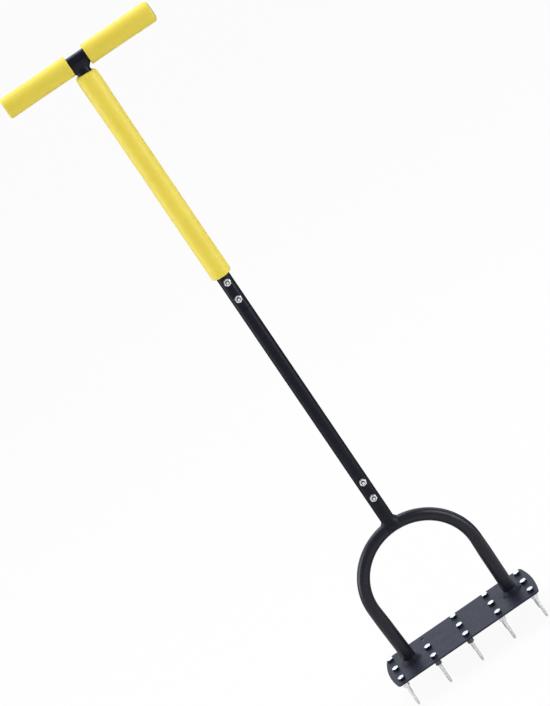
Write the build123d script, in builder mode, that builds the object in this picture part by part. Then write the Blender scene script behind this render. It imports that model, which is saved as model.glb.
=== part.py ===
"""Lawn aerator fork: T-handle, three-section steel shaft, welded bow, foot plate and bolt-on spikes.

Millimetres. +Z runs up the shaft, X runs along the foot plate and the T-handle, Y is the walking
direction. The origin is on the ground under the middle of the plate, at the height of the spike tips.
"""

import math
import os

from build123d import *

os.makedirs("parts", exist_ok=True)

# ---------------------------------------------------------------- driving dimensions
# foot plate
plate_top = 51.0  # height of the plate's upper face above the spike tips
plate_t = 2.5
plate_half = 135.2  # half length over the curved ends
plate_sag = 6.0  # how far the right end bulges past its corners
plate_left = (130.4, 134.9, 124.4)  # the left end is cut slightly askew: front corner, middle, rear corner
plate_depth = 108.0
plate_corner = 6.0
hole_d = 6.5

# spike grid
columns = (-120.5, -60.0, 0.0, 60.0, 120.5)
row_pitch = 39.5
empty_hole = (-60.0, row_pitch)  # the rear hole of the second column carries no spike

# spikes and their hardware (M6)
hex_af = 10.0
spike_head_h = 5.0
thread_r = 3.0
thread_low = 33.5  # lower end of the spike's threaded length
shank_r = 2.6
# blunt point, as (radius, height) from the tip up
point = ((1.2, 0.0), (1.65, 0.35), (2.45, 5.2), (2.6, 8.0))
washer_r = 6.0
washer_t = 1.6
spring_r = 5.3
spring_t = 1.6
spring_gap = 1.2
spike_nut_h = 8.0
bore_r = 3.2

# tubes
tube_r = 11.0
tube_wall = 1.4
insert_r = 9.5  # reduced ends of the middle section
insert_len = 70.0
bow_r = 10.3  # radius of the bow's tube in the bend, where bending has drawn it in
leg_r = 10.9  # radius of its straight legs
leg_swell = 26.0  # length over which the leg grows from one to the other
bow_wall = 1.5
bow_bend = 96.6  # bend radius of the bow, on its centre line
bow_z = 158.5  # height of the bend's centre
leg_lean = {"left": 2.45, "right": 0.1}  # degrees by which the legs lean in towards their feet
lower_joint_z = 363.6
upper_joint_z = 675.0
cross_z = 1118.0  # axis of the T-handle's tube

# joint bolts (M6, along Y)
joint_bolt_z = {"lower": (345.1, 314.5), "upper": (724.8, 694.2)}
bolt_hole_r = 3.2
bolt_head_h = 4.0
nut_h = 5.0
bolt_proud = 2.4  # how far a bolt's end stands out of its nut

# grips
foam_r = 16.4
# the T-handle sits a little to the right of the shaft
cross_end = {"left": -123.6, "right": 129.0}  # ends of the cross tube and of the foam on it
grip_inner = {"left": -13.0, "right": 16.5}  # inner ends of the two T-handle grips
shaft_grip_low = 735.7
shaft_grip_high = 1097.9
foam_round = 2.0
plug_flange_r = 13.5
plug_flange_t = 1.2
plug_len = 16.0

# weld beads
foot_bead = 7.2
bow_bead = 4.5
handle_bead = 4.2

plate_low = plate_top - plate_t
washer_low = plate_low - washer_t
spring_low = washer_low - spring_t
spike_nut_low = spring_low - spike_nut_h
bow_top = bow_z + bow_bend
tube_in = tube_r - tube_wall


def write(builder, name):
    builder.part.label = name
    export_step(builder.part, f"parts/{name}.step")


# ---------------------------------------------------------------- foot plate
corner_x = plate_half - plate_sag
left_front, left_mid, left_rear = plate_left
half_d = plate_depth / 2
with BuildPart() as foot_plate:
    with BuildSketch(Plane.XY.offset(plate_low)) as plate_face:
        with BuildLine():
            Line((-left_front, -half_d), (corner_x, -half_d))
            ThreePointArc((corner_x, -half_d), (plate_half, 0), (corner_x, half_d))
            Line((corner_x, half_d), (-left_rear, half_d))
            ThreePointArc((-left_rear, half_d), (-left_mid, 0), (-left_front, -half_d))
        make_face()
        fillet(plate_face.vertices(), plate_corner)
    extrude(amount=plate_t)
    rim = foot_plate.faces().sort_by(Axis.Z)[-1].outer_wire().edges()
    chamfer(rim, 0.35)
    with BuildSketch(Plane.XY.offset(plate_low)):
        with Locations([(x, j * row_pitch) for x in columns for j in (-1, 0, 1)]):
            Circle(hole_d / 2)
    extrude(amount=plate_t, mode=Mode.SUBTRACT)
write(foot_plate, "foot_plate")


# ---------------------------------------------------------------- spikes and their hardware
rows = {"front": -1, "middle": 0, "rear": 1}
# how far each hexagon happens to be turned, in degrees, column by column
head_turn = {"front": (8, 31, 4, 22, 12), "middle": (18, 2, 27, 9, 35), "rear": (25, 0, 11, 40, 16)}
nut_turn = {"front": (3, 26, 15, 38, 20), "middle": (12, 33, 6, 24, 1), "rear": (30, 0, 19, 8, 27)}


def places(row, turns):
    y = rows[row] * row_pitch
    return [
        Location((x, y, 0), (0, 0, turn))
        for x, turn in zip(columns, turns)
        if (x, y) != empty_hole
    ]


for row in rows:
    with BuildPart() as spikes:
        with BuildSketch(Plane.XY.offset(plate_top)):
            with Locations(places(row, head_turn[row])):
                RegularPolygon(hex_af / 2, 6, major_radius=False)
        extrude(amount=spike_head_h)
        # the hexagon's corners are turned off at the top
        for place in places(row, head_turn[row]):
            at = place.position
            with BuildSketch(Plane((at.X, at.Y, 0), x_dir=(1, 0, 0), z_dir=(0, -1, 0))):
                with BuildLine():
                    Polyline(
                        (4.7, plate_top + spike_head_h + 0.1),
                        (4.7, plate_top + spike_head_h),
                        (6.6, plate_top + spike_head_h - 1.1),
                        (6.6, plate_top + spike_head_h + 0.1),
                        close=True,
                    )
                make_face()
            revolve(axis=Axis((at.X, at.Y, 0), (0, 0, 1)), mode=Mode.SUBTRACT)
            # threaded length, shank and point
            with BuildSketch(Plane((at.X, at.Y, 0), x_dir=(1, 0, 0), z_dir=(0, -1, 0))):
                with BuildLine():
                    Polyline(
                        (0, 0),
                        *point,
                        (shank_r, thread_low - 1.0),
                        (thread_r, thread_low),
                        (thread_r, plate_top),
                        (0, plate_top),
                        close=True,
                    )
                make_face()
            revolve(axis=Axis((at.X, at.Y, 0), (0, 0, 1)))
    write(spikes, f"spikes_{row}")

    with BuildPart() as washers:
        with BuildSketch(Plane.XY.offset(washer_low)):
            with Locations(places(row, nut_turn[row])):
                Circle(washer_r)
                Circle(bore_r, mode=Mode.SUBTRACT)
        extrude(amount=washer_t)
    write(washers, f"spike_washers_{row}")

    with BuildPart() as springs:
        with BuildSketch(Plane.XY.offset(spring_low)):
            with Locations(places(row, nut_turn[row])):
                Circle(spring_r)
                Circle(bore_r, mode=Mode.SUBTRACT)
            turned = [
                Location(
                    (
                        place.position.X + 4.2 * math.cos(math.radians(3 * turn)),
                        place.position.Y + 4.2 * math.sin(math.radians(3 * turn)),
                        0,
                    ),
                    (0, 0, 3 * turn),
                )
                for place, turn in (
                    (p, p.orientation.Z) for p in places(row, nut_turn[row])
                )
            ]
            with Locations(turned):
                Rectangle(3.4, spring_gap, mode=Mode.SUBTRACT)
        extrude(amount=spring_t)
    write(springs, f"spike_spring_washers_{row}")

    with BuildPart() as spike_nuts:
        with BuildSketch(Plane.XY.offset(spike_nut_low)):
            with Locations(places(row, nut_turn[row])):
                RegularPolygon(hex_af / 2, 6, major_radius=False)
                Circle(thread_r + 0.02, mode=Mode.SUBTRACT)
        extrude(amount=spike_nut_h)
    write(spike_nuts, f"spike_nuts_{row}")


# ---------------------------------------------------------------- bow and its welds
legs = {}
for side, sign in (("left", -1), ("right", 1)):
    turn = math.radians(leg_lean[side])
    # end of the bend, where the leg carries on along the tangent
    end_x = sign * bow_bend * math.cos(turn)
    end_z = bow_z - bow_bend * math.sin(turn)
    foot_x = end_x - sign * (end_z - plate_top) * math.tan(turn)
    # upright section through the leg, its local y running up the leg
    section = Plane((end_x, 0, end_z), x_dir=(math.cos(turn), 0, -sign * math.sin(turn)), z_dir=(0, -1, 0))
    axis = Axis((end_x, 0, end_z), (sign * math.sin(turn), 0, math.cos(turn)))
    legs[side] = (section, axis, end_z - plate_top + 6, foot_x)

with BuildPart() as bow_tube:
    left_section, left_axis, _, _ = legs["left"]
    right_section, _, _, _ = legs["right"]
    start, finish = left_section.origin, right_section.origin
    with BuildLine() as bow_path:
        ThreePointArc(start, (0, 0, bow_top), finish)
    with BuildSketch(Plane(start, x_dir=(0, 1, 0), z_dir=left_axis.direction)):
        Circle(bow_r)
        Circle(bow_r - bow_wall, mode=Mode.SUBTRACT)
    sweep()
    for section, axis, length, _ in legs.values():
        with BuildSketch(section):
            with BuildLine():
                Polyline(
                    (bow_r - bow_wall, 0),
                    (bow_r, 0),
                    (leg_r, -leg_swell),
                    (leg_r, -length),
                    (leg_r - bow_wall, -length),
                    (leg_r - bow_wall, -leg_swell),
                    close=True,
                )
            make_face()
        revolve(axis=axis)
    # the feet are cut level to stand on the plate
    with BuildSketch(Plane.XY.offset(plate_top)):
        Rectangle(300, 60)
    extrude(amount=-30, mode=Mode.SUBTRACT)
write(bow_tube, "bow_tube")

for side, (section, axis, length, foot_x) in legs.items():
    with BuildPart() as foot_weld:
        with BuildSketch(Plane((foot_x, 0, 0), x_dir=(1, 0, 0), z_dir=(0, -1, 0))):
            with BuildLine():
                Polyline(
                    (leg_r - 1, plate_top),
                    (leg_r + foot_bead, plate_top),
                    (leg_r + 0.45 * foot_bead, plate_top + 0.45 * foot_bead),
                    (leg_r - 1, plate_top + foot_bead),
                    close=True,
                )
            make_face()
        revolve(axis=Axis((foot_x, 0, 0), (0, 0, 1)))
        with BuildSketch(section):
            with BuildLine():
                Polyline((0, 0), (leg_r, 0), (leg_r, -length), (0, -length), close=True)
            make_face()
        revolve(axis=axis, mode=Mode.SUBTRACT)
    write(foot_weld, f"{side}_foot_weld")

with BuildPart() as bow_weld:
    with BuildSketch(Plane.XY.offset(bow_top - 3)):
        Circle(tube_r + bow_bead)
    extrude(amount=26)
    with BuildSketch(Plane((0, 0, bow_z), x_dir=(0, 1, 0), z_dir=(1, 0, 0))):
        with Locations((0, bow_bend)):
            Circle(bow_r + bow_bead)
    revolve(axis=Axis((0, 0, bow_z), (0, 1, 0)), mode=Mode.INTERSECT)
    with BuildSketch(Plane((0, 0, bow_z), x_dir=(0, 1, 0), z_dir=(1, 0, 0))):
        with Locations((0, bow_bend)):
            Circle(bow_r)
    revolve(axis=Axis((0, 0, bow_z), (0, 1, 0)), mode=Mode.SUBTRACT)
    with BuildSketch(Plane.XY.offset(bow_top - 4)):
        Circle(tube_r)
    extrude(amount=30, mode=Mode.SUBTRACT)
write(bow_weld, "bow_weld")


# ---------------------------------------------------------------- shaft sections
with BuildPart() as socket_tube:
    with BuildSketch(Plane.XY.offset(bow_top)):
        Circle(tube_r)
        Circle(tube_in, mode=Mode.SUBTRACT)
    extrude(amount=lower_joint_z - bow_top)
    mouth = socket_tube.faces().sort_by(Axis.Z)[-1].outer_wire().edges()
    chamfer(mouth, 0.45)
    # the lower end is coped to sit on the bow
    with BuildSketch(Plane((0, 0, bow_z), x_dir=(0, 1, 0), z_dir=(1, 0, 0))):
        with Locations((0, bow_bend)):
            Circle(bow_r)
    revolve(axis=Axis((0, 0, bow_z), (0, 1, 0)), mode=Mode.SUBTRACT)
    with BuildSketch(Plane((0, -20, 0), x_dir=(1, 0, 0), z_dir=(0, 1, 0))):
        with Locations([(0, -z) for z in joint_bolt_z["lower"]]):
            Circle(bolt_hole_r)
    extrude(amount=40, mode=Mode.SUBTRACT)
write(socket_tube, "socket_tube")

with BuildPart() as middle_tube:
    with BuildSketch(Plane((0, 0, 0), x_dir=(1, 0, 0), z_dir=(0, -1, 0))):
        with BuildLine():
            Polyline(
                (insert_r - tube_wall, lower_joint_z - insert_len),
                (insert_r, lower_joint_z - insert_len),
                (insert_r, lower_joint_z),
                (tube_r - 0.45, lower_joint_z),
                (tube_r, lower_joint_z + 0.45),
                (tube_r, upper_joint_z - 0.45),
                (tube_r - 0.45, upper_joint_z),
                (insert_r, upper_joint_z),
                (insert_r, upper_joint_z + insert_len),
                (insert_r - tube_wall, upper_joint_z + insert_len),
                (insert_r - tube_wall, upper_joint_z - 3.0),
                (tube_in, upper_joint_z - 9.0),
                (tube_in, lower_joint_z + 9.0),
                (insert_r - tube_wall, lower_joint_z + 3.0),
                close=True,
            )
        make_face()
    revolve(axis=Axis.Z)
    with BuildSketch(Plane((0, -20, 0), x_dir=(1, 0, 0), z_dir=(0, 1, 0))):
        with Locations([(0, -z) for zs in joint_bolt_z.values() for z in zs]):
            Circle(bolt_hole_r)
    extrude(amount=40, mode=Mode.SUBTRACT)
write(middle_tube, "middle_tube")

with BuildPart() as upper_tube:
    with BuildSketch(Plane.XY.offset(upper_joint_z)):
        Circle(tube_r)
        Circle(tube_in, mode=Mode.SUBTRACT)
    extrude(amount=cross_z - upper_joint_z)
    mouth = upper_tube.faces().sort_by(Axis.Z)[0].outer_wire().edges()
    chamfer(mouth, 0.45)
    # the upper end is coped to sit on the cross tube
    with BuildSketch(Plane((-20, 0, cross_z), x_dir=(0, 1, 0), z_dir=(1, 0, 0))):
        Circle(tube_r)
    extrude(amount=40, mode=Mode.SUBTRACT)
    with BuildSketch(Plane((0, -20, 0), x_dir=(1, 0, 0), z_dir=(0, 1, 0))):
        with Locations([(0, -z) for z in joint_bolt_z["upper"]]):
            Circle(bolt_hole_r)
    extrude(amount=40, mode=Mode.SUBTRACT)
write(upper_tube, "upper_tube")

with BuildPart() as cross_tube:
    with BuildSketch(Plane((cross_end["left"], 0, cross_z), x_dir=(0, 1, 0), z_dir=(1, 0, 0))):
        Circle(tube_r)
        Circle(tube_in, mode=Mode.SUBTRACT)
    extrude(amount=cross_end["right"] - cross_end["left"])
write(cross_tube, "cross_tube")

with BuildPart() as handle_weld:
    with BuildSketch(Plane.XY.offset(cross_z - tube_r - handle_bead - 1)):
        Circle(tube_r + handle_bead)
        Circle(tube_r, mode=Mode.SUBTRACT)
    extrude(amount=tube_r + handle_bead + 1)
    with BuildSketch(Plane((-20, 0, cross_z), x_dir=(0, 1, 0), z_dir=(1, 0, 0))):
        Circle(tube_r + handle_bead)
    extrude(amount=40, mode=Mode.INTERSECT)
    with BuildSketch(Plane((-20, 0, cross_z), x_dir=(0, 1, 0), z_dir=(1, 0, 0))):
        Circle(tube_r)
    extrude(amount=40, mode=Mode.SUBTRACT)
    # the bead stops at the left grip, which is pushed up against it
    with BuildSketch(Plane((grip_inner["left"] + 0.05, 0, cross_z), x_dir=(0, 1, 0), z_dir=(-1, 0, 0))):
        Rectangle(60, 60)
    extrude(amount=20, mode=Mode.SUBTRACT)
write(handle_weld, "handle_weld")


# ---------------------------------------------------------------- joint bolts and nuts
bolt_turn = (5, 24)
front_y = -tube_r
for joint, heights in joint_bolt_z.items():
    with BuildPart() as bolts:
        # shanks, from under the head at the back to past the nut at the front
        with BuildSketch(Plane((0, tube_r, 0), x_dir=(1, 0, 0), z_dir=(0, -1, 0))):
            with Locations([(0, z) for z in heights]):
                Circle(thread_r)
        extrude(amount=2 * tube_r + nut_h + bolt_proud)
        ends = bolts.faces().sort_by(Axis.Y)[:2].edges()
        chamfer(ends, 0.6)
        with BuildSketch(Plane((0, tube_r, 0), x_dir=(-1, 0, 0), z_dir=(0, 1, 0))):
            with Locations([Location((0, z, 0), (0, 0, t)) for z, t in zip(heights, bolt_turn)]):
                RegularPolygon(hex_af / 2, 6, major_radius=False)
        extrude(amount=bolt_head_h)
    write(bolts, f"{joint}_joint_bolts")

    with BuildPart() as joint_nuts:
        with BuildSketch(Plane((0, front_y, 0), x_dir=(1, 0, 0), z_dir=(0, -1, 0))):
            with Locations([Location((0, z, 0), (0, 0, 10 + t)) for z, t in zip(heights, bolt_turn)]):
                RegularPolygon(hex_af / 2, 6, major_radius=False)
                Circle(thread_r + 0.02, mode=Mode.SUBTRACT)
        extrude(amount=nut_h)
    write(joint_nuts, f"{joint}_joint_nuts")


# ---------------------------------------------------------------- grips and end plugs
for side, sign in (("left", -1), ("right", 1)):
    with BuildPart() as grip:
        with BuildSketch(Plane((grip_inner[side], 0, cross_z), x_dir=(0, 1, 0), z_dir=(sign, 0, 0))):
            Circle(foam_r)
            Circle(tube_r, mode=Mode.SUBTRACT)
        extrude(amount=abs(cross_end[side] - grip_inner[side]))
        rims = [f.outer_wire().edges()[0] for f in (grip.faces().sort_by(Axis.X)[0], grip.faces().sort_by(Axis.X)[-1])]
        fillet(rims, foam_round)
    write(grip, f"{side}_grip")

    with BuildPart() as end_plug:
        with BuildSketch(Plane((cross_end[side], 0, cross_z), x_dir=(sign, 0, 0), z_dir=(0, -1, 0))):
            with BuildLine():
                Polyline(
                    (-plug_len, 0),
                    (-plug_len, tube_in - 0.7),
                    (-plug_len + 3, tube_in - 0.15),
                    (0, tube_in - 0.15),
                    (0, plug_flange_r),
                    (0.5 * plug_flange_t, plug_flange_r),
                    (plug_flange_t, plug_flange_r - 2.0),
                    (plug_flange_t, 0),
                    close=True,
                )
            make_face()
        revolve(axis=Axis((0, 0, cross_z), (1, 0, 0)))
    write(end_plug, f"{side}_end_plug")

with BuildPart() as shaft_grip:
    with BuildSketch(Plane.XY.offset(shaft_grip_low)):
        Circle(foam_r)
        Circle(tube_r, mode=Mode.SUBTRACT)
    extrude(amount=shaft_grip_high - shaft_grip_low)
    rims = [f.outer_wire().edges()[0] for f in (shaft_grip.faces().sort_by(Axis.Z)[0], shaft_grip.faces().sort_by(Axis.Z)[-1])]
    fillet(rims, foam_round)
write(shaft_grip, "shaft_grip")
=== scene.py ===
import math

import bpy
import numpy as np
from mathutils import Matrix, Vector, noise


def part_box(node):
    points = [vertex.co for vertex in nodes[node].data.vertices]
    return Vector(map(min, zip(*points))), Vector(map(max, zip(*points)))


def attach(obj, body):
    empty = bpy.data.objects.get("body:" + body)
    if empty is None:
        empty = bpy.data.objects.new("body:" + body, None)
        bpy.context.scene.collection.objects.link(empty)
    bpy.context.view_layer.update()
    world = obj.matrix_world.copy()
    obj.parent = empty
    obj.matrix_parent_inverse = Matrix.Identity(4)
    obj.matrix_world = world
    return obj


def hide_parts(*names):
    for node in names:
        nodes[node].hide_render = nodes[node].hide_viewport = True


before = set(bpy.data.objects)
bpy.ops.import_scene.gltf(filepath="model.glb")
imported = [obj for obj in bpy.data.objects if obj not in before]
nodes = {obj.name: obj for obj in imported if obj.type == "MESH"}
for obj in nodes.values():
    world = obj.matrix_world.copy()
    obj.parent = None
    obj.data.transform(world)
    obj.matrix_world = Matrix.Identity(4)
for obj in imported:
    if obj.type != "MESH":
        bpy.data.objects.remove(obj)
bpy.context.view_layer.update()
MM = 0.001


# ---------------------------------------------------------------- sizes, read from the CAD nodes
def box(name):
    lo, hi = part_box(name)
    return np.array(lo), np.array(hi)


def split_by_gap(name, axis, gap):
    """A node's vertices in groups, wherever they leave a gap along one axis."""
    co = np.array([v.co for v in nodes[name].data.vertices], float)
    co = co[np.argsort(co[:, axis], kind="stable")]
    cuts = np.nonzero(np.diff(co[:, axis]) > gap)[0] + 1
    return np.split(co, cuts)


plate_lo, plate_hi = box("foot_plate")
plate_top, plate_low = plate_hi[2], plate_lo[2]
bow_lo, bow_hi = box("bow_tube")
leg_r = (bow_hi[1] - bow_lo[1]) / 2
bow_r = leg_r - 0.6 * MM
bend_r = 96.6 * MM
bend_z = bow_hi[2] - bow_r - bend_r
leg_lean = {"left": 2.45, "right": 0.1}
cross_lo, cross_hi = box("cross_tube")
tube_r = (cross_hi[2] - cross_lo[2]) / 2
cross_z = (cross_hi[2] + cross_lo[2]) / 2
lower_joint_z = box("socket_tube")[1][2]
upper_joint_z = box("upper_tube")[0][2]


# ---------------------------------------------------------------- mesh helpers
def new_object(name, verts, faces, mats, sharp=35.0, face_mats=None):
    mesh = bpy.data.meshes.new(name)
    mesh.from_pydata(np.asarray(verts, float).tolist(), [], [list(map(int, f)) for f in faces])
    for m in mats:
        mesh.materials.append(m)
    if face_mats is not None:
        mesh.polygons.foreach_set("material_index", np.asarray(face_mats, np.int32))
    mesh.polygons.foreach_set("use_smooth", np.ones(len(mesh.polygons), bool))
    mesh.validate()
    mesh.set_sharp_from_angle(angle=math.radians(sharp))
    obj = bpy.data.objects.new(name, mesh)
    bpy.context.scene.collection.objects.link(obj)
    return obj


def outward(verts, faces):
    """Turns every face over if the closed mesh is inside out."""
    v = np.asarray(verts, float)
    volume = 0.0
    for f in faces:
        for k in range(1, len(f) - 1):
            volume += np.dot(v[f[0]], np.cross(v[f[k]], v[f[k + 1]]))
    return faces if volume > 0 else [tuple(reversed(f)) for f in faces]


def rings(points, close_u=False, cap_start=False, cap_end=False):
    """Quads through points[u, v], closed round v, and round u if it says so."""
    nu, nv = points.shape[:2]
    faces = []
    last = nu if close_u else nu - 1
    for i in range(last):
        a, b = i * nv, ((i + 1) % nu) * nv
        for j in range(nv):
            k = (j + 1) % nv
            faces.append((a + j, a + k, b + k, b + j))
    verts = points.reshape(-1, 3)
    if cap_start:
        verts = np.vstack([verts, points[0].mean(0)])
        c = len(verts) - 1
        faces += [(c, (j + 1) % nv, j) for j in range(nv)]
    if cap_end:
        verts = np.vstack([verts, points[-1].mean(0)])
        c, a = len(verts) - 1, (nu - 1) * nv
        faces += [(c, a + j, a + (j + 1) % nv) for j in range(nv)]
    return verts, faces


class Parts:
    """Collects closed shells that become one object."""

    def __init__(self):
        self.verts, self.faces, self.mats, self.count = [], [], [], 0

    def add(self, verts, faces, mat=0, flanks=None):
        """flanks is the material of the faces that stand upright, if it is not the same; the spike heads use it for a
        painted shade on their sides.
        """
        faces = outward(verts, faces)
        self.verts.append(np.asarray(verts, float))
        self.faces += [tuple(int(i) + self.count for i in f) for f in faces]
        if flanks is None:
            self.mats += [mat] * len(faces)
        else:
            v = np.asarray(verts, float)
            for f in faces:
                p = v[list(f)]
                n = np.cross(p[2] - p[0], p[-1] - p[1]) if len(f) == 4 else np.cross(p[1] - p[0], p[2] - p[0])
                self.mats.append(flanks if abs(n[2]) < 0.6 * np.linalg.norm(n) else mat)
        self.count += len(verts)

    def build(self, name, mats, sharp=35.0):
        return new_object(name, np.vstack(self.verts), self.faces, mats, sharp, self.mats)


def place(points, origin, axis_z, axis_x):
    """Local (x, y, z) points set down at origin, with local z along axis_z."""
    z = np.array(axis_z, float)
    x = np.array(axis_x, float)
    y = np.cross(z, x)
    return np.array(origin) + points[..., :1] * x + points[..., 1:2] * y + points[..., 2:3] * z


def circle_rings(profile, n=48, turn=0.0):
    """Rings from a profile of (radius, height) pairs."""
    t = np.linspace(0, 2 * math.pi, n, endpoint=False) + turn
    return np.array([[(r * math.cos(a), r * math.sin(a), h) for a in t] for r, h in profile])


# ---------------------------------------------------------------- fasteners
hex_steps = np.radians([-30, -28.6, -26, -18, -9, 0, 9, 18, 26, 28.6])


def hex_outline(af):
    """Angles and radii of a hexagon whose corners are slightly rounded."""
    angles, radii = [], []
    for k in range(6):
        for s in hex_steps:
            r = af / 2 / math.cos(s)
            if abs(abs(s) - math.radians(30)) < 1e-6:
                r *= 0.989
            elif abs(abs(s) - math.radians(28.6)) < 1e-6:
                r *= 0.997
            angles.append(k * math.pi / 3 + s + math.pi / 6)
            radii.append(r)
    return np.array(angles), np.array(radii)


def hex_body(af, h, turn, inner=None, both=False, crown=0.0, sink=0.5 * MM):
    """A forged hexagon from z 0 to h with conical chamfers; inner is the radius of its hole, or None for a solid head."""
    angles, radii = hex_outline(af)
    rc = af * 0.468
    drop = np.maximum(0, radii - rc) * math.tan(math.radians(31))
    ca, sa = np.cos(angles + turn), np.sin(angles + turn)

    def ring(r, z):
        r = np.broadcast_to(r, ca.shape)
        z = np.broadcast_to(z, ca.shape)
        return np.stack([r * ca, r * sa, z], 1)

    out = []
    if inner is not None:
        out.append(ring(inner, sink))
        out.append(ring(inner + sink, 0.0))
    if both:
        out += [ring(rc, 0.0), ring((rc + radii) / 2, drop / 2), ring(radii, drop)]
    else:
        out += [ring(rc, 0.0), ring(radii * 0.985, 0.0), ring(radii, 0.12 * MM)]
    for f in (0.3, 0.6, 0.85):
        out.append(ring(radii, drop * (1 - f) * (1 if both else 0) + (h - drop) * f + (0 if both else 0.12 * MM * (1 - f))))
    out += [ring(radii, h - drop), ring(radii - 0.06 * MM, h - drop + 0.05 * MM), ring((rc + radii) / 2, h - drop / 2), ring(rc, h - 0.02 * MM), ring(rc - 0.12 * MM, h)]
    if inner is not None:
        out += [ring(inner + sink, h), ring(inner + 0.5 * sink, h - 0.5 * sink), ring(inner, h - sink)]
        return rings(np.array(out), close_u=True)
    out += [ring(rc * 0.8, h + 0.35 * crown), ring(rc * 0.5, h + 0.8 * crown), ring(rc * 0.2, h + crown)]
    return rings(np.array(out), cap_start=True, cap_end=True)


def thread(z0, z1, r, pitch=1.0 * MM, depth=0.55 * MM, n=36, per=7, run_low=1.0, run_high=0.0, phase=0.0):
    """Rings of a helical thread from z0 up to z1; run_low and run_high are the turns over which it fades out."""
    count = max(2, int(round((z1 - z0) / pitch * per)) + 1)
    zs = np.linspace(z0, z1, count)
    t = np.linspace(0, 2 * math.pi, n, endpoint=False)
    out = np.zeros((count, n, 3))
    for i, z in enumerate(zs):
        u = np.mod(z / pitch - t / (2 * math.pi) + phase, 1.0)
        tooth = np.clip((np.abs(u - 0.5) * 2 - 0.16) / 0.68, 0, 1)
        fade = 1.0
        if run_low:
            fade = min(fade, (z - z0) / (run_low * pitch))
        if run_high:
            fade = min(fade, (z1 - z) / (run_high * pitch))
        rr = r - depth * tooth * np.clip(fade, 0, 1)
        out[i] = np.stack([rr * np.cos(t), rr * np.sin(t), np.full(n, z)], 1)
    return out


def corner_turn(co, centre, plane):
    """The angle of a hexagon's corners, in radians, from the CAD vertices furthest from its axis."""
    a, b = plane
    d = co[:, [a, b]] - np.array([centre[a], centre[b]])
    far = d[np.argsort(-np.hypot(d[:, 0], d[:, 1]))[:1]]
    return math.atan2(far[0, 1], far[0, 0]) % (math.pi / 3)


# ---------------------------------------------------------------- materials
class Tree:
    """A short way to write a material's nodes."""

    def __init__(self, name):
        self.mat = bpy.data.materials.new(name)
        self.mat.use_nodes = True
        self.t = self.mat.node_tree
        self.t.nodes.clear()
        self.out = self.t.nodes.new("ShaderNodeOutputMaterial")
        self.bsdf = self.t.nodes.new("ShaderNodeBsdfPrincipled")
        self.t.links.new(self.bsdf.outputs[0], self.out.inputs["Surface"])
        self.pos = self.t.nodes.new("ShaderNodeTexCoord").outputs["Object"]

    def link(self, a, b):
        self.t.links.new(a, b)

    def put(self, socket, value):
        if isinstance(value, bpy.types.NodeSocket):
            self.t.links.new(value, socket)
        elif value is not None:
            socket.default_value = value

    def set(self, **values):
        for k, v in values.items():
            self.put(self.bsdf.inputs[k.replace("_", " ")], v)

    def noise(self, scale, detail=3.0, rough=0.55, distortion=0.0, vector=None):
        n = self.t.nodes.new("ShaderNodeTexNoise")
        n.inputs["Scale"].default_value = scale
        n.inputs["Detail"].default_value = detail
        n.inputs["Roughness"].default_value = rough
        n.inputs["Distortion"].default_value = distortion
        self.link(vector or self.pos, n.inputs["Vector"])
        return n.outputs["Fac"]

    def voronoi(self, scale, feature="F1", smooth=None, vector=None, out="Distance", random=1.0):
        n = self.t.nodes.new("ShaderNodeTexVoronoi")
        n.feature = feature
        n.inputs["Scale"].default_value = scale
        n.inputs["Randomness"].default_value = random
        if smooth is not None and "Smoothness" in n.inputs:
            n.inputs["Smoothness"].default_value = smooth
        self.link(vector or self.pos, n.inputs["Vector"])
        return n.outputs[out]

    def map(self, value, a, b, c, d, kind="LINEAR"):
        n = self.t.nodes.new("ShaderNodeMapRange")
        n.interpolation_type = kind
        self.put(n.inputs["Value"], value)
        for k, v in zip(("From Min", "From Max", "To Min", "To Max"), (a, b, c, d)):
            n.inputs[k].default_value = v
        return n.outputs["Result"]

    def math(self, op, a, b=None, clamp=False):
        n = self.t.nodes.new("ShaderNodeMath")
        n.operation = op
        n.use_clamp = clamp
        self.put(n.inputs[0], a)
        if b is not None:
            self.put(n.inputs[1], b)
        return n.outputs[0]

    def mix(self, fac, a, b):
        n = self.t.nodes.new("ShaderNodeMix")
        n.data_type = "RGBA"
        self.put(n.inputs[0], fac)
        self.put(n.inputs[6], a)
        self.put(n.inputs[7], b)
        return n.outputs[2]

    def stretch(self, x, y, z):
        n = self.t.nodes.new("ShaderNodeMapping")
        n.inputs["Scale"].default_value = (x, y, z)
        self.link(self.pos, n.inputs["Vector"])
        return n.outputs["Vector"]

    def xyz(self):
        n = self.t.nodes.new("ShaderNodeSeparateXYZ")
        self.link(self.pos, n.inputs[0])
        return n.outputs

    def bump(self, height, strength, distance, normal=None):
        n = self.t.nodes.new("ShaderNodeBump")
        n.inputs["Strength"].default_value = strength
        n.inputs["Distance"].default_value = distance
        self.put(n.inputs["Height"], height)
        if normal is not None:
            self.link(normal, n.inputs["Normal"])
        return n.outputs["Normal"]


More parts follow.
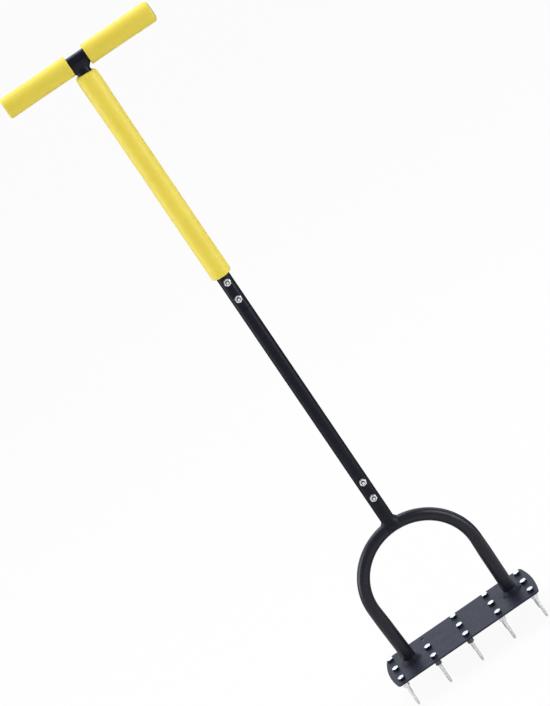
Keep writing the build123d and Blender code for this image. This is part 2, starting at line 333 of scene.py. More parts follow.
def powder_coat(name, dark, light, rough, spec, peel=1.0, dust=0.0):
    """Satin black powder coat: orange peel, a fine grain, and slight differences of gloss."""
    m = Tree(name)
    cloud = m.noise(22, 4, 0.6)
    speck = m.noise(900, 2, 0.5)
    base = m.mix(m.map(cloud, 0.3, 0.7, 0, 1), dark, light)
    flecks = m.map(speck, 0.66, 0.74, 0, 0.22)
    base = m.mix(flecks, base, (light[0] * 2.4, light[1] * 2.4, light[2] * 2.4, 1))
    if dust:
        # handling marks: thin, long, faint rubs
        rub = m.noise(1.0, 4, 0.65, 0.6, m.stretch(90, 90, 16))
        base = m.mix(m.map(rub, 0.60, 0.78, 0, dust), base, (light[0] * 3.2, light[1] * 3.2, light[2] * 3.3, 1))
    gloss = m.noise(60, 4, 0.6)
    grain = m.noise(1600, 2, 0.5)
    orange = m.noise(420, 2, 0.45)
    m.set(Base_Color=base, Roughness=m.map(gloss, 0.3, 0.7, rough - 0.05, rough + 0.06))
    m.bsdf.inputs["Specular IOR Level"].default_value = spec
    n1 = m.bump(orange, 0.22 * peel, 0.0004)
    n2 = m.bump(grain, 0.16 * peel, 0.00012, n1)
    m.set(Normal=n2)
    return m.mat


def weld_metal(name):
    """Coated weld: the same black, glossier on the ripples, with spatter grain."""
    m = Tree(name)
    cloud = m.noise(160, 4, 0.65)
    base = m.mix(m.map(cloud, 0.3, 0.7, 0, 1), (0.0046, 0.0048, 0.0115, 1), (0.0068, 0.0071, 0.0155, 1))
    gloss = m.noise(260, 3, 0.6)
    m.set(Base_Color=base, Roughness=m.map(gloss, 0.3, 0.7, 0.36, 0.46))
    m.bsdf.inputs["Specular IOR Level"].default_value = 0.20
    n1 = m.bump(m.noise(700, 3, 0.5), 0.20, 0.0004)
    n2 = m.bump(m.noise(1700, 2, 0.5), 0.15, 0.00012, n1)
    m.set(Normal=n2)
    return m.mat


def foam(name, low, high, worn):
    """Closed-cell foam tube: a thin satin skin over small cells, with faint long waviness from extrusion."""
    m = Tree(name)
    broad = m.noise(14, 3, 0.55)
    mottle = m.noise(160, 4, 0.6)
    base = m.mix(m.map(broad, 0.3, 0.7, 0, 1), low, high)
    base = m.mix(m.map(mottle, 0.42, 0.75, 0, 0.22), base, worn)
    cells = m.voronoi(780, "SMOOTH_F1", 0.6)
    pits = m.voronoi(330, "F1")
    pin = m.map(pits, 0.0, 0.15, 1, 0)
    # painted shade: the pits are coloured darker as well as pressed in by the bump below
    base = m.mix(m.math("MULTIPLY", pin, 0.22), base, (0.62, 0.46, 0.024, 1))
    m.set(Base_Color=base, Roughness=m.map(m.noise(300, 3, 0.6), 0.3, 0.7, 0.50, 0.62))
    m.bsdf.inputs["Specular IOR Level"].default_value = 0.55
    m.bsdf.inputs["Sheen Weight"].default_value = 0.12
    m.bsdf.inputs["Sheen Roughness"].default_value = 0.45
    n1 = m.bump(m.noise(45, 2, 0.5), 0.08, 0.0012)
    n2 = m.bump(cells, 0.16, 0.00035, n1)
    n3 = m.bump(m.math("MULTIPLY", pin, -1.0), 0.3, 0.00025, n2)
    m.set(Normal=n3)
    return m.mat


def black_plastic(name):
    m = Tree(name)
    cloud = m.noise(90, 3, 0.55)
    base = m.mix(cloud, (0.008, 0.008, 0.009, 1), (0.014, 0.014, 0.016, 1))
    m.set(Base_Color=base, Roughness=m.map(m.noise(400, 3, 0.6), 0.3, 0.7, 0.42, 0.56))
    m.bsdf.inputs["Specular IOR Level"].default_value = 0.2
    m.set(Normal=m.bump(m.noise(1500, 2, 0.5), 0.30, 0.00015))
    return m.mat


def zinc(name, tint=(0.80, 0.82, 0.85), rough=0.22, spangle=0.5, metal=1.0):
    """Bright zinc plate: faint patches, fine drawing lines and dull spots."""
    m = Tree(name)
    patch = m.voronoi(480, "F1", out="Color")
    sep = m.t.nodes.new("ShaderNodeSeparateColor")
    m.link(patch, sep.inputs[0])
    cloud = m.noise(210, 4, 0.6)
    dull = tuple(c * 0.80 for c in tint)
    base = m.mix(m.map(cloud, 0.35, 0.7, 0, 1), (*tint, 1), (*dull, 1))
    base = m.mix(m.math("MULTIPLY", sep.outputs[0], 0.12 * spangle), base, (0.52, 0.56, 0.62, 1))
    scratch = m.noise(1.0, 3, 0.7, 0.3, m.stretch(2600, 2600, 260))
    wear = 1.0 if metal > 0.7 else 0.35
    r = m.map(scratch, 0.3, 0.75, rough - 0.05, rough + 0.10)
    m.set(Base_Color=base, Metallic=metal, Roughness=r)
    n1 = m.bump(m.noise(520, 3, 0.55), 0.14 * wear, 0.0003)
    m.set(Normal=m.bump(scratch, 0.05 * wear, 0.0001, n1))
    return m.mat


tube_coat = powder_coat("tube_powder_coat", (0.0043, 0.0045, 0.0108, 1), (0.0060, 0.0063, 0.0142, 1), 0.36, 0.165, 1.0, 0.2)
bow_coat = powder_coat("bow_powder_coat", (0.0043, 0.0045, 0.0108, 1), (0.0062, 0.0065, 0.0145, 1), 0.33, 0.34, 1.0, 0.15)
plate_coat = powder_coat("plate_powder_coat", (0.0125, 0.0145, 0.0275, 1), (0.0165, 0.0190, 0.0345, 1), 0.44, 0.19, 0.9, 0.06)
weld_coat = weld_metal("weld_powder_coat")
foam_skin = foam("yellow_foam_skin", (0.875, 0.700, 0.058, 1), (0.905, 0.735, 0.072, 1), (0.820, 0.630, 0.044, 1))
# painted shade: the hand grips wear the same foam about a tenth darker than the shaft grip
hand_foam_shaded_copy = foam("yellow_foam_painted_shade_copy", (0.785, 0.620, 0.046, 1), (0.815, 0.655, 0.058, 1), (0.735, 0.565, 0.036, 1))
plug_black = black_plastic("moulded_black")
zinc_bolt = zinc("zinc_bolt", (0.86, 0.87, 0.90), 0.20)
zinc_nut = zinc("zinc_nut", (0.88, 0.89, 0.91), 0.28, 0.3, 0.6)
zinc_washer = zinc("zinc_washer", (0.76, 0.78, 0.81), 0.30)
spike_steel = zinc("spike_steel", (0.93, 0.93, 0.935), 0.34, 0.05, 0.4)
joint_zinc = zinc("joint_zinc", (0.90, 0.91, 0.93), 0.26, 0.2, 0.6)
# painted shade: a darker copy of the zinc for the upright sides of the spike heads
flank_painted_shade = zinc("painted_shade_flank", (0.085, 0.087, 0.10), 0.30, 0.1)
# painted shade: a dark copy of the zinc for the joint nuts' countersinks, the joint bolts' end chamfers and threads,
# and two front nuts under the plate
dark_painted_shade = zinc("painted_shade_zinc", (0.10, 0.10, 0.105), 0.40, 0.2)


def dress(name, mat):
    """A CAD node's own mesh with a finished material."""
    obj = nodes[name]
    obj.data.materials.clear()
    obj.data.materials.append(mat)
    return obj


dress("foot_plate", plate_coat)
dress("bow_tube", bow_coat)
for part in ("socket_tube", "middle_tube", "upper_tube", "cross_tube"):
    dress(part, tube_coat)


def stand_for(obj, *names, slot=None):
    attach(obj, "root")
    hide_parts(*names)
    return obj


# ---------------------------------------------------------------- foam grips
def grip(name, node, axis, seed, low_end, high_end, swell, skin, cut=0.0):
    """A foam tube with softly rolled ends and a slightly uneven skin.

    low_end and high_end are (how far the roll runs in across the face, how far it runs along the tube);
    swell gives the outer radius along the tube, as (distance from the low end, radius) pairs.
    """
    lo, hi = box(node)
    a0, a1 = lo[axis], hi[axis]
    other = [k for k in range(3) if k != axis]
    centre = (lo + hi) / 2
    far, wide = np.array(swell).T * MM

    def r_at(a):
        return float(np.interp(a - a0, far, wide))

    r_in = tube_r + 0.05 * MM
    n = 160
    profile = []  # (position along the axis, radius, how soft: 0 in the bore, 1 outside)
    lip = 0.7 * MM

    def corner(at, end, sign):
        # from the end face out to the outer surface
        across, along = end[0] * MM, end[1] * MM
        out = [(at + sign * lip, r_in, 0.0), (at + sign * 0.2 * MM, r_in + 0.35 * MM, 0.1)]
        face = r_at(at + sign * along) - across
        for f in (0.25, 0.6, 0.9):
            out.append((at + sign * 0.02 * MM, r_in + (face - r_in) * f, 0.35))
        for k in range(0, 13):
            t = math.pi / 2 * k / 12
            run = at + sign * along * (1 - math.cos(t))
            out.append((run, min(r_at(run), face + across * math.sin(t)), 0.5 + 0.5 * k / 12))
        return out

    low = corner(a0, low_end, 1)
    high = corner(a1, high_end, -1)[::-1]
    b0, b1 = a0 + low_end[1] * MM, a1 - high_end[1] * MM
    steps = int((b1 - b0) / (1.6 * MM))
    mid = [(b0 + (b1 - b0) * k / steps, r_at(b0 + (b1 - b0) * k / steps), 1.0) for k in range(1, steps)]
    profile = low + mid + high
    t = np.linspace(0, 2 * math.pi, n, endpoint=False)
    pts = np.zeros((len(profile) + 2, n, 3))
    off = Vector((seed * 3.1, seed * 1.7, seed * 0.9))
    for i, (a, r, soft) in enumerate(profile):
        for j, ang in enumerate(t):
            c, s = math.cos(ang), math.sin(ang)
            if soft > 0:
                p = Vector((c * r * 40, s * r * 40, a * 22)) + off
                wave = noise.noise(p)
                q = Vector((c * r * 300, s * r * 300, a * 260)) + off
                fine = noise.noise(q)
                rr = r + soft * (wave * 0.12 * MM + fine * 0.03 * MM)
                aa = a + (1 - abs(2 * soft - 1)) * noise.noise(q * 0.4) * 0.12 * MM
            else:
                rr, aa = r, a
            # the high end is trimmed a little lower on one side
            aa -= cut * MM * max(0.0, c) ** 1.5 * min(1.0, max(0.0, (a - a1 + 15 * MM) / (15 * MM)))
            pts[i, j, axis] = aa
            pts[i, j, other[0]] = centre[other[0]] + rr * c
            pts[i, j, other[1]] = centre[other[1]] + rr * s
    # the bore, closed round the tube
    for k, a in ((len(profile), a1 - 6 * MM), (len(profile) + 1, a0 + 6 * MM)):
        pts[k, :, axis] = a
        pts[k, :, other[0]] = centre[other[0]] + r_in * np.cos(t)
        pts[k, :, other[1]] = centre[other[1]] + r_in * np.sin(t)
    verts, faces = rings(pts, close_u=True)
    parts = Parts()
    parts.add(verts, faces)
    obj = parts.build(name, [skin], sharp=70)
    stand_for(obj, node, slot="yellow_foam")
    return obj


grip("left_foam_grip", "left_grip", 0, 1.0, (3.0, 5.0), (1.2, 1.5), ((0, 16.55), (20, 16.5), (55, 16.3), (90, 16.4), (111, 16.6)), hand_foam_shaded_copy)
grip("right_foam_grip", "right_grip", 0, 2.0, (1.2, 1.5), (3.0, 5.0), ((0, 16.5), (20, 16.35), (55, 16.3), (80, 16.7), (113, 16.9)), hand_foam_shaded_copy)
grip("shaft_foam_grip", "shaft_grip", 2, 3.0, (2.6, 3.0), (3.6, 8.0), ((0, 16.55), (12, 16.5), (40, 16.35), (240, 16.3), (285, 16.65), (330, 17.1), (345, 17.15), (363, 17.0)), foam_skin, cut=2.4)


# ---------------------------------------------------------------- end plugs
def end_plug(name, node, sign, r, t):
    """A moulded plug: ribbed insert, flange of radius r and thickness t, and a shallow dished face."""
    lo, hi = box(node)
    outer = hi[0] if sign > 0 else lo[0]
    inner = lo[0] if sign > 0 else hi[0]
    depth = abs(outer - inner) - 1.2 * MM + t
    bore = tube_r - 1.4 * MM
    profile = [
        (bore - 2.6 * MM, 2.0 * MM), (bore - 2.6 * MM, 0.2 * MM), (bore - 2.3 * MM, 0.0), (bore - 0.9 * MM, 0.0), (bore - 0.5 * MM, 0.5 * MM),
    ]
    # three sealing ribs round the insert
    for k in range(3):
        z = (3.2 + 3.4 * k) * MM
        profile += [(bore - 0.6 * MM, z - 0.7 * MM), (bore - 0.12 * MM, z - 0.2 * MM), (bore - 0.12 * MM, z + 0.3 * MM), (bore - 0.6 * MM, z + 0.5 * MM)]
    z1 = depth - t
    profile += [
        (bore - 0.3 * MM, z1 - 0.1 * MM), (bore + 0.6 * MM, z1), (r - 0.2 * MM, z1), (r, z1 + 0.15 * t), (r, z1 + 0.4 * t), (r - 0.22 * MM, z1 + 0.68 * t),
        (r - 0.8 * MM, z1 + 0.9 * t), (r - 1.8 * MM, z1 + t), (r - 3.2 * MM, z1 + t), (r - 3.6 * MM, z1 + t - 0.12 * MM), (r - 4.0 * MM, z1 + t - 0.40 * MM),
        (r - 4.4 * MM, z1 + t - 0.50 * MM), (r - 6.0 * MM, z1 + t - 0.50 * MM), (1.9 * MM, z1 + t - 0.46 * MM), (1.6 * MM, z1 + t - 0.30 * MM), (1.2 * MM, z1 + t - 0.24 * MM), (0.4 * MM, z1 + t - 0.24 * MM),
    ]
    pts = circle_rings(profile, 96)
    pts = place(pts, (inner, 0, cross_z), (sign, 0, 0), (0, 1, 0))
    verts, faces = rings(pts, cap_start=True, cap_end=True)
    parts = Parts()
    parts.add(verts, faces)
    return stand_for(parts.build(name, [plug_black], sharp=40), node, slot="black_plastic")


end_plug("left_plug_cap", "left_end_plug", -1, 11.2 * MM, 0.25 * MM)
end_plug("right_plug_cap", "right_end_plug", 1, 13.1 * MM, 0.7 * MM)


# ---------------------------------------------------------------- spikes, washers and nuts under the plate
for row in ("front", "middle", "rear"):
    parts = Parts()
    for co in split_by_gap(f"spikes_{row}", 0, 0.02):
        head = co[co[:, 2] > plate_top + 0.5 * MM]
        cx, cy = (head[:, 0].min() + head[:, 0].max()) / 2, (co[:, 1].min() + co[:, 1].max()) / 2
        low = co[co[:, 2] < plate_low - 12 * MM]
        cx, cy = (low[:, 0].min() + low[:, 0].max()) / 2, (low[:, 1].min() + low[:, 1].max()) / 2
        turn = corner_turn(co[np.abs(co[:, 2] - plate_top) < 0.01 * MM], (cx, cy, 0), (0, 1))
        h = co[:, 2].max() - plate_top
        verts, faces = hex_body(10 * MM, h - 0.06 * MM, turn, crown=0.06 * MM)
        # the head's upright sides take the darker zinc, a painted shade
        parts.add(verts + np.array([cx, cy, plate_top]), faces, 0, flanks=2)
        # shank: point, taper, thread and the plain length under the head
        thread_low, r = plate_low - 9.5 * MM, 3.0 * MM
        low_rings = circle_rings(
            [(0.6 * MM, 0.0), (1.2 * MM, 0.06 * MM), (1.5 * MM, 0.3 * MM), (1.68 * MM, 0.8 * MM), (2.1 * MM, 3.0 * MM), (2.44 * MM, 5.2 * MM), (2.56 * MM, 7.2 * MM), (2.6 * MM, 9.5 * MM), (2.61 * MM, 18 * MM), (2.6 * MM, 31.6 * MM), (2.66 * MM, 32.6 * MM), (2.84 * MM, 33.6 * MM), (2.9 * MM, thread_low - 0.3 * MM)],
            36,
        )
        helix = thread(thread_low, plate_low - 0.5 * MM, r - 0.1 * MM, depth=0.26 * MM, run_low=1.2, phase=(cx * 7) % 1)
        top = circle_rings([(2.98 * MM, plate_low - 0.2 * MM), (2.98 * MM, plate_top + 0.3 * MM)], 36)
        pts = np.concatenate([low_rings, helix, top])
        pts = pts + np.array([cx, cy, 0])
        verts, faces = rings(pts, cap_start=True, cap_end=True)
        parts.add(verts, faces, 1)
    stand_for(parts.build(f"spikes_{row}_turned", [zinc_bolt, spike_steel, flank_painted_shade], sharp=32), f"spikes_{row}", slot="spike_steel")

    parts = Parts()
    for co in split_by_gap(f"spike_washers_{row}", 0, 0.02):
        cx, cy = (co[:, 0].min() + co[:, 0].max()) / 2, (co[:, 1].min() + co[:, 1].max()) / 2
        z0, z1, r = co[:, 2].min(), co[:, 2].max(), (co[:, 0].max() - co[:, 0].min()) / 2
        e = 0.16 * MM
        profile = [(3.2 * MM, z0 + e), (3.2 * MM + e, z0), (r - 2 * e, z0), (r - 0.6 * e, z0 + 0.5 * e), (r, z0 + 2 * e), (r, z1 - e), (r - e, z1), (3.2 * MM + e, z1), (3.2 * MM, z1 - e)]
        verts, faces = rings(circle_rings(profile, 64) + np.array([cx, cy, 0]), close_u=True)
        parts.add(verts, faces)
    stand_for(parts.build(f"washers_{row}_pressed", [zinc_washer], sharp=50), f"spike_washers_{row}", slot="zinc_plate")

    parts = Parts()
    for k, co in enumerate(split_by_gap(f"spike_spring_washers_{row}", 0, 0.02)):
        cx, cy = (co[:, 0].min() + co[:, 0].max()) / 2, (co[:, 1].min() + co[:, 1].max()) / 2
        z0, z1 = co[:, 2].min(), co[:, 2].max()
        r = 5.3 * MM
        thick = (z1 - z0) * 0.86
        rise = (z1 - z0) - thick
        start = 0.9 + 1.7 * k
        span = 2 * math.pi - 1.1 / 4.2
        count = 56
        section = []
        e = 0.14 * MM
        for i in range(count):
            f = i / (count - 1)
            a = start + span * f
            zz = z0 + rise * f
            skew = (0.5 - f) * 0.0
            loop = [(3.2 * MM + e, zz), (r - e, zz), (r, zz + e), (r, zz + thick - e), (r - e, zz + thick), (3.2 * MM + e, zz + thick), (3.2 * MM, zz + thick - e), (3.2 * MM, zz + e)]
            section.append([(cx + rr * math.cos(a + skew), cy + rr * math.sin(a + skew), z) for rr, z in loop])
        verts, faces = rings(np.array(section), cap_start=True, cap_end=True)
        parts.add(verts, faces)
    stand_for(parts.build(f"spring_washers_{row}_split", [zinc_washer], sharp=45), f"spike_spring_washers_{row}", slot="zinc_plate")

    parts = Parts()
    for co in split_by_gap(f"spike_nuts_{row}", 0, 0.02):
        bore = co[np.abs(co[:, 2] - co[:, 2].min()) < 1e-5]
        cx, cy = (co[:, 0].min() + co[:, 0].max()) / 2, (co[:, 1].min() + co[:, 1].max()) / 2
        near = bore[np.hypot(bore[:, 0] - cx, bore[:, 1] - cy) < 3.6 * MM]
        cx, cy = (near[:, 0].min() + near[:, 0].max()) / 2, (near[:, 1].min() + near[:, 1].max()) / 2
        turn = corner_turn(co, (cx, cy, 0), (0, 1))
        z0, h = co[:, 2].min(), co[:, 2].max() - co[:, 2].min()
        verts, faces = hex_body(10 * MM, h, turn, inner=2.9 * MM, both=True)
        # painted shade: two nuts of the front row take the dark zinc copy
        in_painted_shade = row == "front" and -70 * MM < cx < 10 * MM
        parts.add(verts + np.array([cx, cy, z0]), faces, 1 if in_painted_shade else 0)
    stand_for(parts.build(f"spike_nuts_{row}_forged", [zinc_nut, dark_painted_shade], sharp=32), f"spike_nuts_{row}", slot="zinc_plate")


# ---------------------------------------------------------------- joint bolts and nuts
for joint in ("upper", "lower"):
    bolts, nuts = Parts(), Parts()
    for co in split_by_gap(f"{joint}_joint_bolts", 2, 0.008):
        shank = co[co[:, 1] < -tube_r]
        cz = (shank[:, 2].min() + shank[:, 2].max()) / 2
        head = co[co[:, 1] > tube_r + 1 * MM]
        # seen along +Y from the back, local x is -X and local z is +Y
        turn = corner_turn(np.stack([-head[:, 0], head[:, 2] - cz, head[:, 1]], 1), (0, 0, 0), (0, 1))
        h = co[:, 1].max() - tube_r
        verts, faces = hex_body(10 * MM, h - 0.1 * MM, turn, crown=0.1 * MM)
        local = np.array(verts)
        bolts.add(np.stack([-local[:, 0], tube_r + local[:, 2], cz + local[:, 1]], 1), faces)
        end = co[:, 1].min()
        length = tube_r - end
        helix = thread(0.6 * MM, length - 14 * MM, 2.98 * MM, run_low=0.6)
        plain = circle_rings([(2.98 * MM, length - 13.6 * MM), (2.98 * MM, length + 0.3 * MM)], 36)
        tip = circle_rings([(0.6 * MM, 0.05 * MM), (1.8 * MM, 0.0), (2.05 * MM, 0.08 * MM)], 36)
        end_pts = np.stack([tip[..., 0], end + tip[..., 2], cz - tip[..., 1]], -1)
        verts, faces = rings(end_pts, cap_start=True, cap_end=True)
        bolts.add(verts, faces)
        # painted shade: the chamfer round the bolt end and the thread take the dark zinc, round the bright end face
        tip = circle_rings([(0.6 * MM, 0.10 * MM), (2.05 * MM, 0.10 * MM), (2.75 * MM, 0.5 * MM)], 36)
        pts = np.concatenate([tip, helix, plain])
        pts = np.stack([pts[..., 0], end + pts[..., 2], cz - pts[..., 1]], -1)
        verts, faces = rings(pts, cap_start=True, cap_end=True)
        bolts.add(verts, faces, 1)
    for co in split_by_gap(f"{joint}_joint_nuts", 2, 0.008):
        ring = co[np.hypot(co[:, 0], co[:, 2] - co[:, 2].mean()) < 4 * MM]
        cz = (ring[:, 2].min() + ring[:, 2].max()) / 2
        turn = corner_turn(np.stack([co[:, 0], co[:, 2] - cz, co[:, 1]], 1), (0, 0, 0), (0, 1))
        y0, y1 = co[:, 1].min(), co[:, 1].max()
        verts, faces = hex_body(10 * MM, y1 - y0, turn, inner=2.9 * MM, both=True, sink=0.5 * MM)
        local = np.array(verts)
        nuts.add(np.stack([local[:, 0], y1 - local[:, 2], cz + local[:, 1]], 1), faces)
        # painted shade: a dark ring in the nut's countersink
        washer = circle_rings([(2.85 * MM, 0.50 * MM), (3.34 * MM, 0.0), (3.42 * MM, -0.02 * MM), (3.34 * MM, -0.04 * MM), (2.85 * MM, 0.45 * MM)], 48)
        pts = np.stack([washer[..., 0], y0 + washer[..., 2], cz + washer[..., 1]], -1)
        verts, faces = rings(pts, close_u=True)
        nuts.add(verts, faces, 1)
    stand_for(bolts.build(f"{joint}_joint_bolts_forged", [joint_zinc, dark_painted_shade], sharp=32), f"{joint}_joint_bolts", slot="zinc_plate")
    stand_for(nuts.build(f"{joint}_joint_nuts_forged", [joint_zinc, dark_painted_shade], sharp=32), f"{joint}_joint_nuts", slot="zinc_plate")


# ---------------------------------------------------------------- weld beads
def surface_nets(f, origin, step):
    """The zero surface of a field sampled on a grid, as vertices and quads."""
    nx, ny, nz = f.shape
    inside = f < 0
    total = np.zeros((nx - 1, ny - 1, nz - 1, 3))
    count = np.zeros((nx - 1, ny - 1, nz - 1))
    corners = [(a, b, c) for a in (0, 1) for b in (0, 1) for c in (0, 1)]

    def at(g, c):
        return g[c[0]:nx - 1 + c[0], c[1]:ny - 1 + c[1], c[2]:nz - 1 + c[2]]

    for a in corners:
        for axis in range(3):
            if a[axis]:
                continue
            b = list(a)
            b[axis] = 1
            fa, fb = at(f, a), at(f, b)
            cut = at(inside, a) != at(inside, b)
            with np.errstate(divide="ignore", invalid="ignore"):
                t = np.where(cut, fa / (fa - fb), 0)
            for k in range(3):
                total[..., k] += np.where(cut, a[k] + (t if k == axis else 0), 0)
            count += cut
    used = count > 0
    index = -np.ones(used.shape, int)
    index[used] = np.arange(used.sum())
    cell = np.argwhere(used)
    verts = origin + (cell + total[used] / count[used][:, None]) * step
    faces = []
    for axis in range(3):
        u, v = [k for k in range(3) if k != axis]
        a = np.take(inside, range(0, f.shape[axis] - 1), axis)
        b = np.take(inside, range(1, f.shape[axis]), axis)
        for flip, mask in ((False, a & ~b), (True, ~a & b)):
            e = np.argwhere(mask)
            e = e[(e[:, u] > 0) & (e[:, v] > 0) & (e[:, u] < f.shape[u] - 1) & (e[:, v] < f.shape[v] - 1)]
            quad = []
            for du, dv in ((-1, -1), (0, -1), (0, 0), (-1, 0)):
                c = e.copy()
                c[:, u] += du
                c[:, v] += dv
                quad.append(index[c[:, 0], c[:, 1], c[:, 2]])
            q = np.stack(quad, 1)
            if flip != (axis == 1):
                q = q[:, ::-1]
            faces.append(q)
    return verts, np.vstack(faces)


def ripple(angle, across, count, seed):
    """Overlapping weld puddles: a sawtooth along the bead whose crests bow forward in the middle."""
    phase = angle * count / (2 * math.pi) + 0.55 * across * across + seed
    u = np.mod(phase, 1.0)
    return np.where(u < 0.78, u / 0.78, (1 - u) / 0.22)


def bead(name, node, field, lo, hi, step, slot_name):
    axes = [np.arange(lo[k], hi[k] + step, step) for k in range(3)]
    x, y, z = np.meshgrid(*axes, indexing="ij")
    f = field(x, y, z)
    verts, faces = surface_nets(f, np.array(lo), step)
    # two light passes of smoothing take out the sampling grid
    a = faces.ravel()
    b = np.roll(faces, -1, 1).ravel()
    for _ in range(2):
        total = np.zeros_like(verts)
        near = np.zeros(len(verts))
        for p, q in ((a, b), (b, a)):
            np.add.at(total, p, verts[q])
            np.add.at(near, p, 1)
        verts = 0.4 * verts + 0.6 * total / near[:, None]
    parts = Parts()
    parts.add(verts, [tuple(q) for q in faces.tolist()])
    return stand_for(parts.build(name, [weld_coat], sharp=60), node, slot=slot_name)


def bead_field(d1, d2, width, power, sink=0.5 * MM):
    a = np.maximum(d1, 0) / width
    b = np.maximum(d2, 0) / width
    body = ((a ** power + b ** power) ** (1 / power) - 1) * width
    return np.maximum(np.maximum(-(d1 + sink), -(d2 + sink)), body)


for side, sign in (("left", -1), ("right", 1)):
    lo, hi = box(f"{side}_foot_weld")
    wx = (lo[0] + hi[0]) / 2
    w0 = 8.0 * MM
    lean = math.radians(leg_lean[side])
    seed = 0.3 if side == "left" else 0.7

    def foot_field(x, y, z):
        shift = wx + sign * (z - plate_top) * math.tan(lean)
        r = np.hypot((x - shift) * math.cos(lean), y)
        a = np.arctan2(y, x - wx)
        d1, d2 = r - leg_r, z - plate_top
        across = (d1 - d2) / w0
        lumps = 0.5 + 0.5 * np.sin(3 * a + 5 * seed) * np.cos(2 * a + seed)
        w = w0 * (0.86 + 0.08 * lumps + 0.016 * ripple(a, across * 2, 23, seed))
        return bead_field(d1, d2, w, 0.86)

    bead(f"{side}_foot_weld_bead", f"{side}_foot_weld", foot_field, lo - 1.2 * MM, hi + 1.6 * MM, 0.34 * MM, "tube_coating")

lo, hi = box("bow_weld")


def bow_field(x, y, z):
    d1 = np.hypot(x, y) - tube_r
    rho = np.hypot(x, z - bend_z)
    d2 = np.hypot(rho - bend_r, y) - bow_r
    a = np.arctan2(y, x)
    across = (d1 - d2) / (4.5 * MM)
    near_right = np.abs(np.mod(a + math.pi, 2 * math.pi) - math.pi)
    lump = np.exp(-(near_right ** 2) / 0.35)
    w = 4.5 * MM * (0.88 + 0.03 * ripple(a, across, 17, 0.15) + 0.09 * lump)
    f = bead_field(d1, d2, w, 0.92)
    # the bead stops short of the bow's flanks
    low = bend_z + bend_r - 2.6 * MM
    return np.maximum(f, low - z)


bead("bow_weld_bead", "bow_weld", bow_field, lo - 1.2 * MM, hi + 1.2 * MM, 0.4 * MM, "tube_coating")

lo, hi = box("handle_weld")
grip_face = box("left_grip")[1][0] + 0.05 * MM
right_face = box("right_grip")[0][0] - 0.05 * MM


def handle_field(x, y, z):
    d1 = np.hypot(x, y) - tube_r
    d2 = np.hypot(z - cross_z, y) - tube_r
    a = np.arctan2(y, x)
    across = (d1 - d2) / (4.2 * MM)
    from_left = np.abs(np.mod(a, 2 * math.pi) - math.pi)
    from_right = np.abs(np.mod(a + math.pi, 2 * math.pi) - math.pi)
    w = 4.2 * MM * (0.94 + 0.04 * ripple(a, across, 19, 0.4) + 0.80 * np.exp(-(from_left ** 2) / 0.8) + 0.50 * np.exp(-(from_right ** 2) / 0.8))
    f = np.maximum(bead_field(d1, d2, w, 0.9), z - cross_z)
    return np.maximum(np.maximum(f, grip_face - x), x - right_face)


bead("handle_weld_bead", "handle_weld", handle_field, lo - 4.6 * MM, hi + 2.4 * MM, 0.36 * MM, "tube_coating")


# ---------------------------------------------------------------- floor, light and camera
floor_mat = Tree("pale_floor")
nt = floor_mat.t
path = nt.nodes.new("ShaderNodeLightPath")
shade = floor_mat.noise(0.7, 2, 0.5)
pale = floor_mat.mix(shade, (0.86, 0.86, 0.865, 1), (0.88, 0.88, 0.885, 1))
# the studio is dark behind the object at floor level, which glossy surfaces pick up at their rims
behind = floor_mat.map(floor_mat.xyz()[1], 0.0, 0.35, 0.0, 1.0, "SMOOTHSTEP")
dim = floor_mat.mix(behind, (0.86, 0.86, 0.865, 1), (0.10, 0.10, 0.105, 1))
seen = floor_mat.mix(path.outputs["Is Glossy Ray"], pale, dim)
floor_mat.set(Base_Color=seen, Roughness=0.9)
floor_mat.bsdf.inputs["Specular IOR Level"].default_value = 0.0
glow = nt.nodes.new("ShaderNodeEmission")
glow.inputs["Color"].default_value = (1, 1, 1, 1)
glow.inputs["Strength"].default_value = 1.0
blend = nt.nodes.new("ShaderNodeMixShader")
nt.links.new(floor_mat.math("MULTIPLY", path.outputs["Is Camera Ray"], 0.93), blend.inputs[0])
nt.links.new(floor_mat.bsdf.outputs[0], blend.inputs[1])
nt.links.new(glow.outputs[0], blend.inputs[2])
nt.links.new(blend.outputs[0], floor_mat.out.inputs["Surface"])
disc = [(30 * math.cos(a), 30 * math.sin(a), 0.0) for a in np.linspace(0, 2 * math.pi, 96, endpoint=False)]
floor = new_object("floor", disc, [tuple(range(96))], [floor_mat.mat])

world = bpy.data.worlds.new("studio")
bpy.context.scene.world = world
world.use_nodes = True
wt = world.node_tree
wt.nodes.clear()
w_out = wt.nodes.new("ShaderNodeOutputWorld")
w_path = wt.nodes.new("ShaderNodeLightPath")


def sky(colour, strength):
    n = wt.nodes.new("ShaderNodeBackground")
    n.inputs["Color"].default_value = (*colour, 1)
    n.inputs["Strength"].default_value = strength
    return n.outputs[0]


def either(fac, a, b):
    n = wt.nodes.new("ShaderNodeMixShader")
    wt.links.new(fac, n.inputs[0])
    wt.links.new(a, n.inputs[1])
    wt.links.new(b, n.inputs[2])
    return n.outputs[0]


fill = sky((0.97, 0.985, 1.0), 0.62)
# a bright backdrop behind the object for reflections, dimmer in front
w_dir = wt.nodes.new("ShaderNodeTexCoord").outputs["Generated"]
w_xyz = wt.nodes.new("ShaderNodeSeparateXYZ")
wt.links.new(w_dir, w_xyz.inputs[0])
w_map = wt.nodes.new("ShaderNodeMapRange")
w_map.interpolation_type = "SMOOTHSTEP"
wt.links.new(w_xyz.outputs[1], w_map.inputs["Value"])
for k, v in zip(("From Min", "From Max", "To Min", "To Max"), (0.0, 0.6, 0.0, 1.0)):
    w_map.inputs[k].default_value = v
gloss = either(w_map.outputs["Result"], sky((0.93, 0.96, 1.0), 0.45), sky((0.85, 0.91, 1.0), 1.35))
light = either(w_path.outputs["Is Glossy Ray"], fill, gloss)
wt.links.new(either(w_path.outputs["Is Camera Ray"], light, sky((1, 1, 1), 1.0)), w_out.inputs["Surface"])


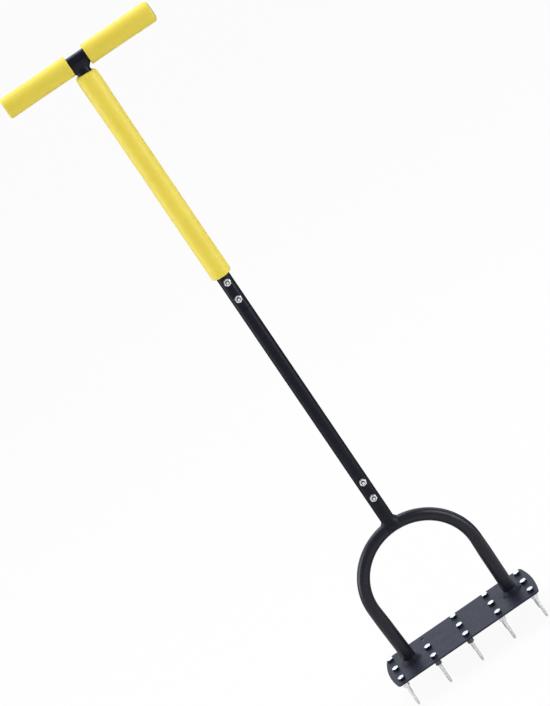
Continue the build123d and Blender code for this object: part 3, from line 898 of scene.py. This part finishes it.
def softbox(name, location, target, width, height, radiance, colour=(1, 1, 1), diffuse=True, glossy=True):
    data = bpy.data.lights.new(name, "AREA")
    data.shape = "RECTANGLE"
    data.size, data.size_y = width, height
    data.energy = radiance * math.pi * width * height
    data.color = colour
    obj = bpy.data.objects.new(name, data)
    bpy.context.scene.collection.objects.link(obj)
    obj.location = location
    aim = Vector(target) - Vector(location)
    obj.rotation_euler = aim.to_track_quat("-Z", "Y").to_euler()
    obj.visible_camera = False
    obj.visible_diffuse = diffuse
    obj.visible_glossy = glossy
    return obj


softbox("top_back", (-0.15, 1.5, 2.9), (0, 0, 0.55), 2.6, 1.6, 2.9, (0.95, 0.97, 1.0), diffuse=False)
softbox("overhead", (-0.1, 0.45, 3.1), (0, 0, 0.9), 2.2, 1.4, 3.4, (1.0, 0.99, 0.98), glossy=False)
softbox("front_fill", (-0.4, -3.0, 2.6), (0, 0, 0.55), 2.4, 1.6, 1.3, (1.0, 1.0, 1.0), glossy=False)
softbox("right_strip", (1.95, -0.95, 1.05), (0, 0, 0.85), 0.75, 2.1, 6.0, (0.97, 0.98, 1.0), diffuse=False)
softbox("left_strip", (-2.1, 0.2, 1.05), (0, 0, 0.85), 0.9, 2.1, 4.5, (0.97, 0.98, 1.0), diffuse=False)
softbox("right_side", (2.3, -0.8, 1.1), (0, 0, 0.6), 0.8, 2.1, 2.5, (1.0, 0.985, 0.97), glossy=False)
softbox("left_side", (-2.3, 0.1, 1.1), (0, 0, 0.6), 0.8, 2.1, 2.5, (1.0, 0.99, 0.98), glossy=False)

bpy.context.scene.view_settings.view_transform = "Standard"
bpy.context.scene.view_settings.look = "None"

yaw, pitch, roll = math.radians(0.72), math.radians(17.09), math.radians(-34.16)
forward = Vector((math.sin(yaw) * math.cos(pitch), math.cos(yaw) * math.cos(pitch), -math.sin(pitch)))
right = Vector((math.cos(yaw), -math.sin(yaw), 0))
up = right.cross(forward)
right_r = right * math.cos(roll) + up * math.sin(roll)
up_r = up * math.cos(roll) - right * math.sin(roll)
cam_data = bpy.data.cameras.new("camera")
cam_data.sensor_width = 36
cam_data.lens = 124.95
cam_data.clip_start, cam_data.clip_end = 0.1, 200
camera = bpy.data.objects.new("camera", cam_data)
bpy.context.scene.collection.objects.link(camera)
camera.matrix_world = Matrix.Translation((-0.04387, -3.5, 1.66564)) @ Matrix(
    (
        (right_r.x, up_r.x, -forward.x, 0),
        (right_r.y, up_r.y, -forward.y, 0),
        (right_r.z, up_r.z, -forward.z, 0),
        (0, 0, 0, 1),
    )
)
bpy.context.scene.camera = camera
